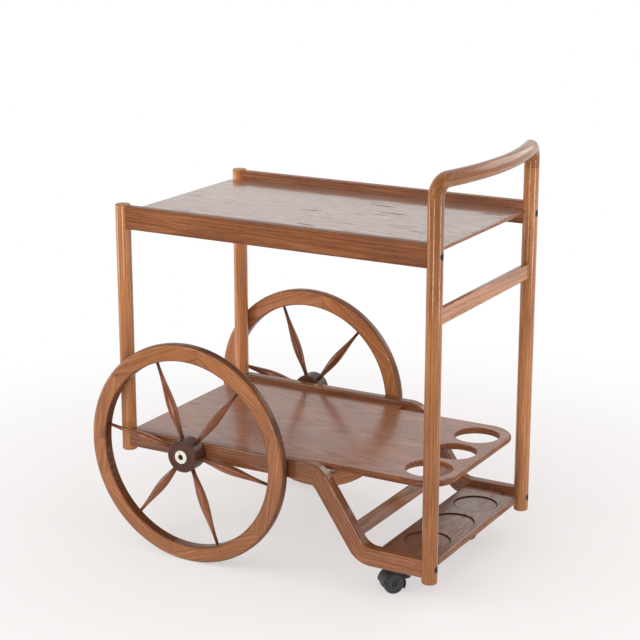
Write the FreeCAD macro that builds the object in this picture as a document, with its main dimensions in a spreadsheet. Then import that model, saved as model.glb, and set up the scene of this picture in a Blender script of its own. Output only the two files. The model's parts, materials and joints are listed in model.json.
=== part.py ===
import FreeCAD, Part
import math
import os
import re

import Sketcher

Vector = FreeCAD.Vector
Rotation = FreeCAD.Rotation

# Serving cart with two large spoked wheels in front and two casters behind.
# +X runs from the wheels to the handle, +Y to the right of whoever pushes, +Z up, floor at zero.
# The origin is on the floor under the middle of the cart. Millimetres and degrees.
# Distances along the cart are measured back from the axes of the front posts.
driving = {
    # Posts
    "front_x": -302,
    "post_gap_x": 620,
    "post_gap_y": 392,
    "post_dia": 27.6,
    "post_edge": 2.5,
    "post_rise": 2.5,
    "front_foot_drop": 8.5,
    "rear_foot_drop": 10,
    # Handle
    "handle_z": 744,
    "hand_rise": 144,
    "handle_bend": 28,
    "handle_bow_angle": 14.9,
    "handle_tail": 12,
    "handle_dowel_dia": 12,
    "handle_dowel_reach": 24,
    # Boards across the cart
    "stretcher_drop": 100,
    "stretcher_height": 28,
    "stretcher_thick": 12,
    "stretcher_edge": 2.5,
    "cross_width": 26,
    "cross_station": 120,
    "cross_raise": 3.5,
    "dowel_dia": 7,
    "dowel_reach": 11,
    "dowel_gap": 14,
    # Tray
    "tray_rail_height": 41.5,
    "tray_rail_thick": 18,
    "rail_edge": 2.5,
    "tray_drop": 14.5,
    "tray_thick": 8,
    "tray_front": -6,
    "tray_rear": 613,
    "tray_tongue": 3,
    "tray_front_notch": 42,
    "tray_rear_notch": 16,
    "tray_notch_depth": 15,
    "tray_corner": 8,
    "tray_edge": 2.5,
    # Side rails
    "side_rail_height": 34,
    "side_rail_thick": 22,
    "side_rail_edge": 4,
    "axle_below_middle": 2.5,
    "lower_rail_low": 57,
    "bend_upper_x": 402,
    "bend_lower_x": 492,
    "bend_inner_r": 32,
    "bend_outer_r": 50,
    # Shelf and bottle floor
    "shelf_drop": 9,
    "shelf_thick": 12,
    "shelf_front": -4,
    "shelf_front_notch": 41,
    "shelf_groove_end": 372,
    "shelf_notch_depth": 15,
    "shelf_corner": 56,
    "shelf_nose": 5,
    "panel_tongue": 4,
    "tongue_thick": 5,
    "panel_edge": 3,
    "bottle_x": 569,
    "bottle_gap": 100,
    "bottle_hole_dia": 83,
    "hole_edge": 2,
    "hole_web_rear": 16.5,
    "hole_web_side": 26.5,
    "floor_drop": 10,
    "floor_thick": 14,
    "floor_web_front": 15.5,
    "floor_web_rear": 13,
    "floor_notch": 36,
    "floor_notch_depth": 18.5,
    "floor_corner": 5,
    "recess_dia": 80,
    "recess_depth": 2,
    # Connector bolts and barrel nuts
    "bolt_dia": 6,
    "bolt_head_dia": 13,
    "bolt_head_thick": 4,
    "bolt_sink": 1.5,
    "bolt_socket": 5,
    "bolt_end": 8,
    "nut_dia": 10,
    "nut_length": 14,
    "nut_setback": 36,
    # Large wheels
    "wheel_x": 146,
    "wheel_r": 205,
    "wheel_plane": 26.5,
    "wheel_turn": 39.4,
    "rim_depth": 31,
    "rim_thick": 20,
    "rim_outer_edge": 6,
    "rim_inner_edge": 3,
    "felloe_gap": 0.2,
    "hub_dia": 60,
    "hub_length": 34.6,
    "hub_edge": 3,
    "hub_dish": 1.2,
    "hub_lip": 6,
    "spoke_root_dia": 8,
    "spoke_neck_dia": 9.6,
    "spoke_belly_dia": 16.8,
    "spoke_shoulder_dia": 11,
    "spoke_tail_dia": 6,
    "spoke_tip_dia": 5.2,
    "spoke_neck": 18,
    "spoke_belly": 64,
    "spoke_shoulder": 98,
    "spoke_tail": 130,
    "spoke_reach": 144,
    "root_tenon_dia": 7,
    "root_tenon": 10,
    "tip_tenon_dia": 4.4,
    "tip_tenon": 12,
    "bush_dia": 13,
    "axle_dia": 8,
    "axle_grip": 16,
    "axle_collar_dia": 16,
    "axle_collar": 1,
    "axle_tip": 1.6,
    "washer_dia": 24.6,
    "washer_thick": 3,
    # Casters
    "caster_setback": 34.5,
    "caster_y": 145,
    "caster_trail": 25,
    "caster_turn_left": 48,
    "caster_turn_right": 80,
    "caster_wheel_dia": 37,
    "caster_wheel_width": 10,
    "caster_wheel_edge": 2.5,
    "caster_wheel_rim": 3.4,
    "caster_nave_dia": 15,
    "caster_web": 9,
    "caster_hood_gap": 1.1,
    "caster_hood_wall": 2.2,
    "caster_hood_edge": 1,
    "hood_front_low": 7,
    "hood_back_low": 20,
    "boss_dia": 20,
    "boss_low": 24,
    "king_pin_dia": 8,
    "king_pin_low": 36,
    "plate_side": 38,
    "plate_thick": 2.5,
    "plate_corner": 5,
    "plate_hole_gap": 28,
    "screw_dia": 3.6,
    "screw_head_dia": 7,
    "screw_head": 2.2,
    "screw_reach": 7,
    "caster_axle_dia": 5,
    "caster_axle_head_dia": 8,
    "caster_axle_head": 2,
    "head_recess_dia": 10,
    "head_recess": 3,
    "wheel_dish": 1.5,
    # Clearances
    "glue_gap": 0.1,
    "run_play": 0.05,
    "turn_gap": 0.4,
}

doc = FreeCAD.newDocument("serving_cart")
sheet = doc.addObject("Spreadsheet::Sheet", "dims")
for row, (name, number) in enumerate(driving.items(), 1):
    sheet.set(f"A{row}", name)
    sheet.set(f"B{row}", str(number))
    sheet.setAlias(f"B{row}", name)
doc.recompute()

tiny = 1e-4
parts = []


# Values worked out from the driving dimensions
half_y = "post_gap_y / 2"
rear_x = "(front_x + post_gap_x)"
upper_rail_low = "(wheel_r + axle_below_middle - side_rail_height / 2)"
upper_rail_middle = "(wheel_r + axle_below_middle)"
lower_rail_middle = "(lower_rail_low + side_rail_height / 2)"
tray_rail_low = "(handle_z - hand_rise)"
tray_rail_top = f"({tray_rail_low} + tray_rail_height)"
tray_rail_middle = f"({tray_rail_low} + tray_rail_height / 2)"
stretcher_middle = f"({tray_rail_low} - stretcher_drop + stretcher_height / 2)"
tray_top = f"({tray_rail_top} - tray_drop)"
tray_middle = f"({tray_top} - tray_thick / 2)"
front_foot = f"({upper_rail_low} - front_foot_drop)"
front_top = f"({tray_rail_top} + post_rise)"
rear_foot = "(lower_rail_low - rear_foot_drop)"
rear_top = "(handle_z - handle_bend - handle_tail)"
shelf_top = f"({upper_rail_low} + side_rail_height - shelf_drop)"
shelf_middle = f"({shelf_top} - shelf_thick / 2)"
shelf_rear = "(bottle_x + bottle_hole_dia / 2 + hole_web_rear)"
shelf_tail = "(bottle_gap + bottle_hole_dia / 2 + hole_web_side)"
floor_top = "(lower_rail_low + side_rail_height - floor_drop)"
floor_middle = f"({floor_top} - floor_thick / 2)"
floor_low = f"({floor_top} - floor_thick)"
floor_front = "(bottle_x - recess_dia / 2 - floor_web_front)"
floor_rear = "(bottle_x + recess_dia / 2 + floor_web_rear)"
rail_inner_y = f"({half_y} - side_rail_thick / 2)"
slope = f"atan(({upper_rail_low} - lower_rail_low) / (bend_lower_x - bend_upper_x))"
mitre = f"(side_rail_height / 2 * tan({slope} / 2))"
cross_x = f"(bend_upper_x + cross_station * cos({slope}) + cross_raise * sin({slope}))"
cross_z = f"({upper_rail_middle} - cross_station * sin({slope}) + cross_raise * cos({slope}))"
rim_inner_r = "(wheel_r - rim_depth)"
hub_inner = "(side_rail_thick / 2 + axle_collar + turn_gap)"
hub_face = f"({hub_inner} + hub_length)"
hub_seat = f"({hub_face} - hub_dish)"
washer_back = f"({hub_seat} + turn_gap)"
washer_front = f"({washer_back} + washer_thick)"
caster_x = f"({floor_front} + caster_setback)"
caster_r = "(caster_wheel_dia / 2)"
caster_inner = "(caster_web / 2 + turn_gap)"
caster_outer = f"({caster_inner} + caster_wheel_width)"
hood_inner_r = f"({caster_r} + caster_hood_gap)"
hood_outer_r = f"({hood_inner_r} + caster_hood_wall)"
plate_low = f"({floor_low} - plate_thick)"
boss_top = f"({plate_low} - turn_gap)"


def bound(text):
    # The text with each driving dimension's name pointed at its cell
    return re.sub(r"[a-z_]+", lambda word: cell_of(word.group(0)), text)


def cell_of(word):
    return f"dims.{word}" if word in driving else word


def size(name):
    return float(getattr(sheet, name))


def new_body(label):
    body = doc.addObject("PartDesign::Body", label)
    body.Label = label
    parts.append(body)
    return body


def place(item, x="0", y="0", z="0"):
    item.setExpression("Placement.Base.x", bound(x))
    item.setExpression("Placement.Base.y", bound(y))
    item.setExpression("Placement.Base.z", bound(z))


def swing(item, axis, angle):
    # Turns the item about an axis through its own origin, by a positive angle
    item.Placement.Rotation = Rotation(axis, 1)
    item.setExpression("Placement.Rotation.Angle", bound(angle))


# Sketches

def new_sketch(body, role, offset="0"):
    sketch = body.newObject("Sketcher::SketchObject", f"{body.Name}_sketch")
    plane = next(item for item in body.Origin.OriginFeatures if item.Role == role)
    sketch.AttachmentSupport = [(plane, "")]
    sketch.MapMode = "FlatFace"
    sketch.setExpression("AttachmentOffset.Base.z", bound(offset))
    return sketch


def hold(sketch, kind, geometry, point, text):
    index = sketch.addConstraint(Sketcher.Constraint(kind, -1, 1, geometry, point, 1.0))
    sketch.setExpression(f"Constraints[{index}]", bound(text))


def outline(sketch, corners):
    # A closed outline through corners whose places are bound to the sheet
    count = len(corners)
    turns = [2 * math.pi * k / count for k in range(count)]
    ring = [Vector(math.cos(turn), math.sin(turn), 0) for turn in turns]
    for k in range(count):
        sketch.addGeometry(Part.LineSegment(ring[k], ring[(k + 1) % count]), False)
    for k, (across, up) in enumerate(corners):
        sketch.addConstraint(Sketcher.Constraint("Coincident", k, 2, (k + 1) % count, 1))
        hold(sketch, "DistanceX", k, 1, across)
        hold(sketch, "DistanceY", k, 1, up)


def box_corners(left, right, low, high):
    return [(left, low), (right, low), (right, high), (left, high)]


def circle(sketch, across, up, diameter):
    index = sketch.addGeometry(Part.Circle(Vector(1, 1, 0), Vector(0, 0, 1), 1), False)
    hold(sketch, "DistanceX", index, 3, across)
    hold(sketch, "DistanceY", index, 3, up)
    limit = sketch.addConstraint(Sketcher.Constraint("Diameter", index, 1.0))
    sketch.setExpression(f"Constraints[{limit}]", bound(diameter))


# Features

def pad(body, sketch, length):
    # Grows half its length to each side of the sketch
    feature = body.newObject("PartDesign::Pad", f"{body.Name}_pad")
    feature.Profile = sketch
    feature.SideType = "Symmetric"
    feature.setExpression("Length", bound(length))
    doc.recompute()


def cut(body, sketch, depth):
    # Reaches the depth to each side of the sketch, so a sketch on a face cuts into the solid
    before = body.Shape.Volume
    feature = body.newObject("PartDesign::Pocket", f"{body.Name}_pocket")
    feature.Profile = sketch
    feature.SideType = "Symmetric"
    feature.setExpression("Length", bound(f"2 * ({depth})"))
    doc.recompute()
    if body.Shape.Volume > before - tiny:
        raise RuntimeError(f"{body.Label}: a pocket cuts nothing")


def cut_round(body, role, offset, across, up, diameter, depth):
    sketch = new_sketch(body, role, offset)
    circle(sketch, across, up, diameter)
    cut(body, sketch, depth)


def cut_dowel_hole(body, face, across, up):
    cut_round(body, "XZ_Plane", face, across, up, "dowel_dia + 2 * glue_gap", "dowel_reach + glue_gap")


def cut_box(body, role, offset, corners, depth):
    sketch = new_sketch(body, role, offset)
    outline(sketch, corners)
    cut(body, sketch, depth)


def revolve(body, sketch, axis, angle="360", both_ways=False):
    feature = body.newObject("PartDesign::Revolution", f"{body.Name}_turning")
    feature.Profile = sketch
    feature.ReferenceAxis = (sketch, [axis])
    feature.Midplane = both_ways
    feature.setExpression("Angle", bound(angle))
    doc.recompute()


def soften(body, wanted, radius):
    base = body.Tip
    edges = [f"Edge{k}" for k, edge in enumerate(base.Shape.Edges, 1) if wanted(edge)]
    feature = body.newObject("PartDesign::Fillet", f"{body.Name}_round")
    feature.Base = (base, edges)
    feature.setExpression("Radius", bound(radius))
    doc.recompute()


def repeat_round(body, count, features=None):
    # Repeats the given features about Y, or else the whole piece
    feature = body.newObject("PartDesign::PolarPattern", f"{body.Name}_ring")
    if features:
        feature.Originals = features
    else:
        feature.TransformMode = "Whole shape"
    axis = next(item for item in body.Origin.OriginFeatures if item.Role == "Y_Axis")
    feature.Axis = (axis, [""])
    feature.Angle = 360
    feature.Occurrences = count
    body.Tip = feature
    doc.recompute()


def is_ring(edge, radius):
    return isinstance(edge.Curve, Part.Circle) and abs(edge.Curve.Radius - radius) < tiny


def is_lengthwise(edge):
    return edge.BoundBox.XLength > tiny and edge.BoundBox.YLength < tiny


def is_upright(edge, x, y):
    # An edge along Z that stands at the given place
    straight = isinstance(edge.Curve, Part.Line) and edge.BoundBox.ZLength > tiny
    return straight and abs(edge.BoundBox.XMin - x) < tiny and abs(edge.BoundBox.YMin - y) < tiny


def at_level(edge, z):
    return edge.BoundBox.ZLength < tiny and abs(edge.BoundBox.ZMin - z) < tiny


def value(text):
    # The number that a bound text comes to, read back from a sketch
    probe = doc.addObject("Sketcher::SketchObject", "probe")
    probe.addGeometry(Part.Point(Vector(1, 1, 0)), False)
    hold(probe, "DistanceX", 0, 1, text)
    doc.recompute()
    number = probe.Geometry[0].X
    doc.removeObject(probe.Name)
    return number


# Posts: round, bolted to the rails from the ends of the cart

def post(label, x, y, foot, top):
    body = new_body(label)
    sketch = new_sketch(body, "XY_Plane", f"({foot} + {top}) / 2")
    circle(sketch, "0", "0", "post_dia")
    pad(body, sketch, f"{top} - {foot}")
    place(body, x, y)
    return body


def bolt_holes(body, levels, outer):
    for level in levels:
        cut_round(body, "YZ_Plane", "0", "0", level, "bolt_dia + 2 * glue_gap", "post_dia")
        face = f"{outer} * post_dia / 2"
        head = "bolt_head_dia + 2 * glue_gap"
        cut_round(body, "YZ_Plane", face, "0", level, head, "bolt_sink + bolt_head_thick + glue_gap")


sides = {"left": -1, "right": 1}
front_bolt_levels = [tray_rail_middle, upper_rail_middle]
rear_bolt_levels = [tray_rail_middle, lower_rail_middle]
stretcher_levels = [f"({stretcher_middle} + {k} * dowel_gap / 2)" for k in (-1, 1)]

for side, sign in sides.items():
    front = post(f"front_post_{side}", "front_x", f"{sign} * {half_y}", front_foot, front_top)
    soften(front, lambda edge: is_ring(edge, size("post_dia") / 2), "post_edge")
    bolt_holes(front, front_bolt_levels, -1)

    rear = post(f"rear_post_{side}", rear_x, f"{sign} * {half_y}", rear_foot, rear_top)
    foot_level = size("lower_rail_low") - size("rear_foot_drop")
    soften(rear, lambda edge: at_level(edge, foot_level), "post_edge")
    bolt_holes(rear, rear_bolt_levels, 1)
    hole = "handle_dowel_dia + 2 * glue_gap"
    cut_round(rear, "XY_Plane", rear_top, "0", "0", hole, "handle_dowel_reach + glue_gap")
    for level in stretcher_levels:
        inner_face = f"{sign} * post_dia / 2"
        cut_dowel_hole(rear, inner_face, "0", level)


# Handle: a round bar bowed outwards, bent down at each end on to a rear post.
# Its path is not in one plane, so it is swept along lines and arcs.

def handle_path():
    bend = size("handle_bend")
    bow = math.radians(size("handle_bow_angle"))
    level = size("handle_z")
    up = Vector(0, 0, 1)

    def elbow(sign):
        start = Vector(0, sign * size("post_gap_y") / 2, level - bend)
        inward = Vector(math.sin(bow), -sign * math.cos(bow), 0)
        centre = start + inward * bend
        middle = centre + (up - inward) * (bend * math.sqrt(0.5))
        return [start - up * size("handle_tail"), start, middle, centre + up * bend]

    left = elbow(-1)
    right = elbow(1)
    span = right[3].y - left[3].y
    crown = Vector(left[3].x + span / 2 * math.tan(bow / 2), 0, level)
    edges = [
        Part.LineSegment(left[0], left[1]),
        Part.Arc(left[1], left[2], left[3]),
        Part.Arc(left[3], crown, right[3]),
        Part.Arc(right[3], right[2], right[1]),
        Part.LineSegment(right[1], right[0]),
    ]
    return Part.Wire([edge.toShape() for edge in edges]), [left[0], right[0]]


path, handle_feet = handle_path()
section = Part.Wire([Part.makeCircle(size("post_dia") / 2, handle_feet[0])])
handle_shape = path.makePipeShell([section], True, False)
for foot in handle_feet:
    hole_r = size("handle_dowel_dia") / 2 + size("glue_gap")
    hole_depth = size("handle_dowel_reach") + size("glue_gap")
    handle_shape = handle_shape.cut(Part.makeCylinder(hole_r, hole_depth, foot))
handle = doc.addObject("Part::Feature", "handle_rail")
handle.Shape = handle_shape
handle.Placement.Base = Vector(size("front_x") + size("post_gap_x"), 0, 0)
parts.append(handle)


# Groups of equal small pieces

def group(label, members):
    gathered = doc.addObject("Part::Compound", label)
    gathered.Label = label
    gathered.Links = members
    parts.append(gathered)
    return gathered


def rod(name, diameter, length):
    item = doc.addObject("Part::Cylinder", name)
    item.setExpression("Radius", bound(f"({diameter}) / 2"))
    item.setExpression("Height", bound(length))
    return item


def lay(item, axis, x, y, z):
    # Points a rod's own length along the axis, from the given place
    item.Placement.Rotation = Rotation(Vector(0, 0, 1), axis)
    place(item, x, y, z)


along_x = Vector(1, 0, 0)
along_y = Vector(0, 1, 0)
along_z = Vector(0, 0, 1)

dowels = []
for sign in sides.values():
    dowel = rod("handle_dowel", "handle_dowel_dia", "2 * handle_dowel_reach")
    lay(dowel, along_z, rear_x, f"{sign} * {half_y}", f"{rear_top} - handle_dowel_reach")
    dowels.append(dowel)
group("handle_dowels", dowels)


# Rear stretcher: a flat board coped to the rear posts

def stretcher_board(label, length, width):
    body = new_body(label)
    sketch = new_sketch(body, "XZ_Plane")
    half_thick = "stretcher_thick / 2"
    half_width = f"{width} / 2"
    outline(sketch, box_corners(f"-{half_thick}", half_thick, f"-{half_width}", half_width))
    pad(body, sketch, length)
    soften(body, lambda edge: edge.BoundBox.YLength > size("post_dia"), "stretcher_edge")
    return body


stretcher = stretcher_board("rear_stretcher", "post_gap_y", "stretcher_height")
stretcher_dowels = []
for sign in sides.values():
    post_y = f"{sign} * {half_y}"
    cut_round(stretcher, "XY_Plane", "0", "0", post_y, "post_dia + 2 * glue_gap", "stretcher_height")
    for k in (-1, 1):
        end_face = f"{-sign} * ({half_y} - post_dia / 2)"
        across = f"{k} * dowel_gap / 2"
        cut_dowel_hole(stretcher, end_face, "0", across)
        dowel = rod("stretcher_dowel", "dowel_dia", "2 * dowel_reach")
        level = f"{stretcher_middle} + {across}"
        lay(dowel, along_y, rear_x, f"{sign} * ({half_y} - post_dia / 2) - dowel_reach", level)
        stretcher_dowels.append(dowel)
place(stretcher, rear_x, "0", stretcher_middle)
group("rear_stretcher_dowels", stretcher_dowels)


# Rails: coped to the posts, drilled for the connector bolts and their barrel nuts

def cope(body, x, low, height):
    cut_round(body, "XY_Plane", f"{low} + {height} / 2", x, "0", "post_dia + 2 * glue_gap", height)


def bolt_way(body, post_x, inward, low, middle):
    reach = "nut_setback + bolt_end + glue_gap"
    cut_round(body, "YZ_Plane", post_x, "0", middle, "bolt_dia + 2 * glue_gap", reach)
    nut_x = f"{post_x} + {inward} * nut_setback"
    nut_depth = f"{middle} - {low} + nut_length / 2"
    cut_round(body, "XY_Plane", low, nut_x, "0", "nut_dia + 2 * glue_gap", nut_depth)


def panel_groove(body, sign, thick, start, end, middle, tongue):
    ends = [f"{start} - glue_gap", f"{end} + glue_gap"]
    half_height = "(tongue_thick / 2 + glue_gap)"
    levels = [f"{middle} - {half_height}", f"{middle} + {half_height}"]
    cut_box(body, "XZ_Plane", f"{sign} * {thick} / 2", box_corners(*ends, *levels), f"{tongue} + glue_gap")


def tray_rail(side, sign):
    body = new_body(f"tray_rail_{side}")
    sketch = new_sketch(body, "XZ_Plane")
    outline(sketch, box_corners("0", "post_gap_x", tray_rail_low, tray_rail_top))
    pad(body, sketch, "tray_rail_thick")
    soften(body, lambda edge: edge.BoundBox.XLength > size("post_gap_x") / 2, "rail_edge")
    for x, inward in (("0", 1), ("post_gap_x", -1)):
        cope(body, x, tray_rail_low, "tray_rail_height")
        bolt_way(body, x, inward, tray_rail_low, tray_rail_middle)
    start = "tray_front + tray_front_notch"
    end = "tray_rear - tray_rear_notch"
    panel_groove(body, sign, "tray_rail_thick", start, end, tray_middle, "tray_tongue")
    place(body, "front_x", f"{sign} * {half_y}")


def side_rail_bends():
    # The four corners of the S outline, with the radius that rounds each
    skew = value(mitre)
    upper = value(upper_rail_low)
    lower = size("lower_rail_low")
    deep = size("side_rail_height")
    return [
        (size("bend_upper_x") - skew, upper, "bend_inner_r"),
        (size("bend_lower_x") + skew, lower + deep, "bend_inner_r"),
        (size("bend_upper_x") + skew, upper + deep, "bend_outer_r"),
        (size("bend_lower_x") - skew, lower, "bend_outer_r"),
    ]


def side_rail(side, sign):
    body = new_body(f"side_rail_{side}")
    sketch = new_sketch(body, "XZ_Plane")
    top = f"({upper_rail_low} + side_rail_height)"
    step = "(lower_rail_low + side_rail_height)"
    lower_edge = [("0", upper_rail_low), (f"bend_upper_x - {mitre}", upper_rail_low)]
    lower_edge += [(f"bend_lower_x - {mitre}", "lower_rail_low"), ("post_gap_x", "lower_rail_low")]
    upper_edge = [("post_gap_x", step), (f"bend_lower_x + {mitre}", step)]
    upper_edge += [(f"bend_upper_x + {mitre}", top), ("0", top)]
    outline(sketch, lower_edge + upper_edge)
    pad(body, sketch, "side_rail_thick")

    for x, z, radius in side_rail_bends():
        def is_corner(edge):
            box = edge.BoundBox
            crosswise = box.YLength > tiny and box.XLength < tiny and box.ZLength < tiny
            return crosswise and math.hypot(box.XMin - x, box.ZMin - z) < tiny
        soften(body, is_corner, radius)
    soften(body, is_lengthwise, "side_rail_edge")

    cope(body, "0", upper_rail_low, "side_rail_height")
    cope(body, "post_gap_x", "lower_rail_low", "side_rail_height")
    bolt_way(body, "0", 1, upper_rail_low, upper_rail_middle)
    bolt_way(body, "post_gap_x", -1, "lower_rail_low", lower_rail_middle)
    shelf_start = "shelf_front + shelf_front_notch"
    floor_end = "post_gap_x - floor_notch"
    grooves = [(shelf_start, "shelf_groove_end", shelf_middle), (floor_front, floor_end, floor_middle)]
    for start, end, middle in grooves:
        panel_groove(body, sign, "side_rail_thick", start, end, middle, "panel_tongue")
    outer_face = f"{-sign} * side_rail_thick / 2"
    axle_hole = "axle_dia + 2 * glue_gap"
    cut_round(body, "XZ_Plane", outer_face, "wheel_x", "wheel_r", axle_hole, "axle_grip + glue_gap")
    for k in (-1, 1):
        inner_face = f"{sign} * side_rail_thick / 2"
        x = f"{cross_x} + {k} * dowel_gap / 2 * cos({slope})"
        z = f"{cross_z} - {k} * dowel_gap / 2 * sin({slope})"
        cut_dowel_hole(body, inner_face, x, z)
    place(body, "front_x", f"{sign} * {half_y}")


for side, sign in sides.items():
    tray_rail(side, sign)
    side_rail(side, sign)


# Cross stretcher: a like board, flat in the slope of the side rails

cross = stretcher_board("cross_stretcher", f"2 * {rail_inner_y}", "cross_width")
swing(cross, along_y, f"{slope} + 90 deg")
place(cross, f"front_x + {cross_x}", "0", cross_z)
cross_dowels = []
for sign in sides.values():
    for k in (-1, 1):
        end_face = f"{-sign} * {rail_inner_y}"
        across = f"{k} * dowel_gap / 2"
        cut_dowel_hole(cross, end_face, "0", across)
        dowel = rod("cross_dowel", "dowel_dia", "2 * dowel_reach")
        x = f"front_x + {cross_x} + {across} * cos({slope})"
        z = f"{cross_z} - {across} * sin({slope})"
        lay(dowel, along_y, x, f"{sign} * {rail_inner_y} - dowel_reach", z)
        cross_dowels.append(dowel)
group("cross_stretcher_dowels", cross_dowels)


# Panels: boards with tongues in the rails' grooves, cut back where they pass the posts

def both_sides(half):
    # The corners of one long side, then the same corners across the middle line, the other way round
    return [(x, f"-({y})") for x, y in half] + [(x, y) for x, y in reversed(half)]


def panel(label, half, middle, thick):
    body = new_body(label)
    sketch = new_sketch(body, "XY_Plane", middle)
    outline(sketch, both_sides(half))
    pad(body, sketch, thick)
    place(body, "front_x")
    return body


def rebate(body, start, end, full, tongue, top, thick):
    # Thins both long edges to tongues, with shoulders that meet the rails
    ends = [f"{start} - {tongue}", f"{end} + {tongue}"]
    edges = [f"{full} - {tongue} - glue_gap", f"{full} + {tongue}"]
    step = f"({thick} - tongue_thick) / 2"
    for level in (top, f"{top} - {thick}"):
        for sign in sides.values():
            across = [f"{sign} * ({edge})" for edge in edges]
            cut_box(body, "XY_Plane", level, box_corners(*ends, *across), step)


def soften_corners(body, x, half_width, radius):
    corner_x = value(x)
    corner_y = value(half_width)
    soften(body, lambda edge: any(is_upright(edge, corner_x, y) for y in (-corner_y, corner_y)), radius)


tray_full = f"({half_y} - tray_rail_thick / 2 + tray_tongue)"
tray_front_half = f"({half_y} - tray_rail_thick / 2 - tray_notch_depth)"
tray_rear_half = f"({half_y} - post_dia / 2 - turn_gap)"
tray = panel(
    "tray_panel",
    [
        ("tray_front", tray_front_half),
        ("tray_front + tray_front_notch", tray_front_half),
        ("tray_front + tray_front_notch", tray_full),
        ("tray_rear - tray_rear_notch", tray_full),
        ("tray_rear - tray_rear_notch", tray_rear_half),
        ("tray_rear", tray_rear_half),
    ],
    tray_middle,
    "tray_thick",
)
soften_corners(tray, "tray_front", tray_front_half, "tray_corner")
soften_corners(tray, "tray_rear", tray_rear_half, "tray_corner")


def is_cross_edge(edge, x):
    box = edge.BoundBox
    return box.YLength > tiny and box.XLength < tiny and box.ZLength < tiny and abs(box.XMin - x) < tiny


for x in (size("tray_front"), size("tray_rear")):
    soften(tray, lambda edge: is_cross_edge(edge, x), "tray_edge")
tray_start = "(tray_front + tray_front_notch)"
tray_end = "(tray_rear - tray_rear_notch)"
rebate(tray, tray_start, tray_end, tray_full, "tray_tongue", tray_top, "tray_thick")

panel_full = f"({rail_inner_y} + panel_tongue)"
shelf_front_half = f"({rail_inner_y} - shelf_notch_depth)"
shelf = panel(
    "shelf_panel",
    [
        ("shelf_front", shelf_front_half),
        ("shelf_front + shelf_front_notch", shelf_front_half),
        ("shelf_front + shelf_front_notch", panel_full),
        ("shelf_groove_end", panel_full),
        ("shelf_groove_end", shelf_tail),
        (shelf_rear, shelf_tail),
    ],
    shelf_middle,
    "shelf_thick",
)
soften_corners(shelf, shelf_rear, shelf_tail, "shelf_corner")
soften(shelf, lambda edge: is_cross_edge(edge, size("shelf_front")), "panel_edge")
shelf_end = value(shelf_rear)


def is_tail_edge(edge):
    # The edges round the free end of the shelf, behind its grooved length
    beyond = edge.BoundBox.XMin > size("shelf_groove_end") - tiny
    return beyond and edge.BoundBox.XLength > tiny or is_cross_edge(edge, shelf_end)


soften(shelf, is_tail_edge, "shelf_nose")
shelf_start = "(shelf_front + shelf_front_notch)"
rebate(shelf, shelf_start, "shelf_groove_end", panel_full, "panel_tongue", shelf_top, "shelf_thick")
bottle_places = [f"{k} * bottle_gap" for k in (-1, 0, 1)]
for y in bottle_places:
    cut_round(shelf, "XY_Plane", shelf_middle, "bottle_x", y, "bottle_hole_dia", "shelf_thick")
soften(shelf, lambda edge: is_ring(edge, size("bottle_hole_dia") / 2), "hole_edge")

floor_rear_half = f"({rail_inner_y} - floor_notch_depth)"
floor = panel(
    "bottle_floor",
    [
        (floor_front, panel_full),
        ("post_gap_x - floor_notch", panel_full),
        ("post_gap_x - floor_notch", floor_rear_half),
        (floor_rear, floor_rear_half),
    ],
    floor_middle,
    "floor_thick",
)
soften_corners(floor, floor_rear, floor_rear_half, "floor_corner")
floor_end = value(floor_rear)
soften(floor, lambda edge: is_cross_edge(edge, floor_end), "panel_edge")
rebate(floor, floor_front, "post_gap_x - floor_notch", panel_full, "panel_tongue", floor_top, "floor_thick")
for y in bottle_places:
    cut_round(floor, "XY_Plane", floor_top, "bottle_x", y, "recess_dia", "recess_depth")


def screw_places(sign):
    # The four plate screws of one caster
    return [
        (f"{caster_x} + {i} * plate_hole_gap / 2", f"{sign} * caster_y + {j} * plate_hole_gap / 2")
        for i in (-1, 1) for j in (-1, 1)
    ]


for sign in sides.values():
    for x, y in screw_places(sign):
        cut_round(floor, "XY_Plane", floor_low, x, y, "screw_dia + 2 * glue_gap", "screw_reach + glue_gap")


# Connector bolts and barrel nuts

def connector_bolt(x, y, z, inward):
    head = rod("bolt_head", "bolt_head_dia", "bolt_head_thick")
    shank = rod("bolt_shank", "bolt_dia", "post_dia / 2 - bolt_sink + nut_setback + bolt_end")
    whole = doc.addObject("Part::Fuse", "bolt_blank")
    whole.Base = head
    whole.Tool = shank
    socket = doc.addObject("Part::Prism", "bolt_socket")
    socket.Polygon = 6
    socket.setExpression("Circumradius", bound("bolt_socket / sqrt(3)"))
    socket.setExpression("Height", bound("bolt_head_thick / 2"))
    bolt = doc.addObject("Part::Cut", "bolt")
    bolt.Base = whole
    bolt.Tool = socket
    lay(bolt, along_x * inward, f"{x} - {inward} * (post_dia / 2 - bolt_sink)", y, z)
    return bolt


def barrel_nut(x, y, z):
    blank = rod("nut_blank", "nut_dia", "nut_length")
    lay(blank, along_z, "0", "0", "-nut_length / 2")
    thread = rod("nut_thread", "bolt_dia + 2 * glue_gap", "2 * nut_dia")
    lay(thread, along_x, "-nut_dia", "0", "0")
    nut = doc.addObject("Part::Cut", "nut")
    nut.Base = blank
    nut.Tool = thread
    place(nut, x, y, z)
    return nut


bolts = []
nuts = []
for sign in sides.values():
    y = f"{sign} * {half_y}"
    ends = [("front_x", 1, level) for level in front_bolt_levels]
    ends += [(rear_x, -1, level) for level in rear_bolt_levels]
    for x, inward, level in ends:
        bolts.append(connector_bolt(x, y, level, inward))
        nuts.append(barrel_nut(f"{x} + {inward} * nut_setback", y, level))
group("connector_bolts", bolts)
group("barrel_nuts", nuts)


# Large wheels: felloes and turned spokes on a turned hub, on a pin in the side rail.
# Each piece is drawn about the wheel's own axis, with outward distances counted from the posts' axes.

spoke_count = 6


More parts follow.
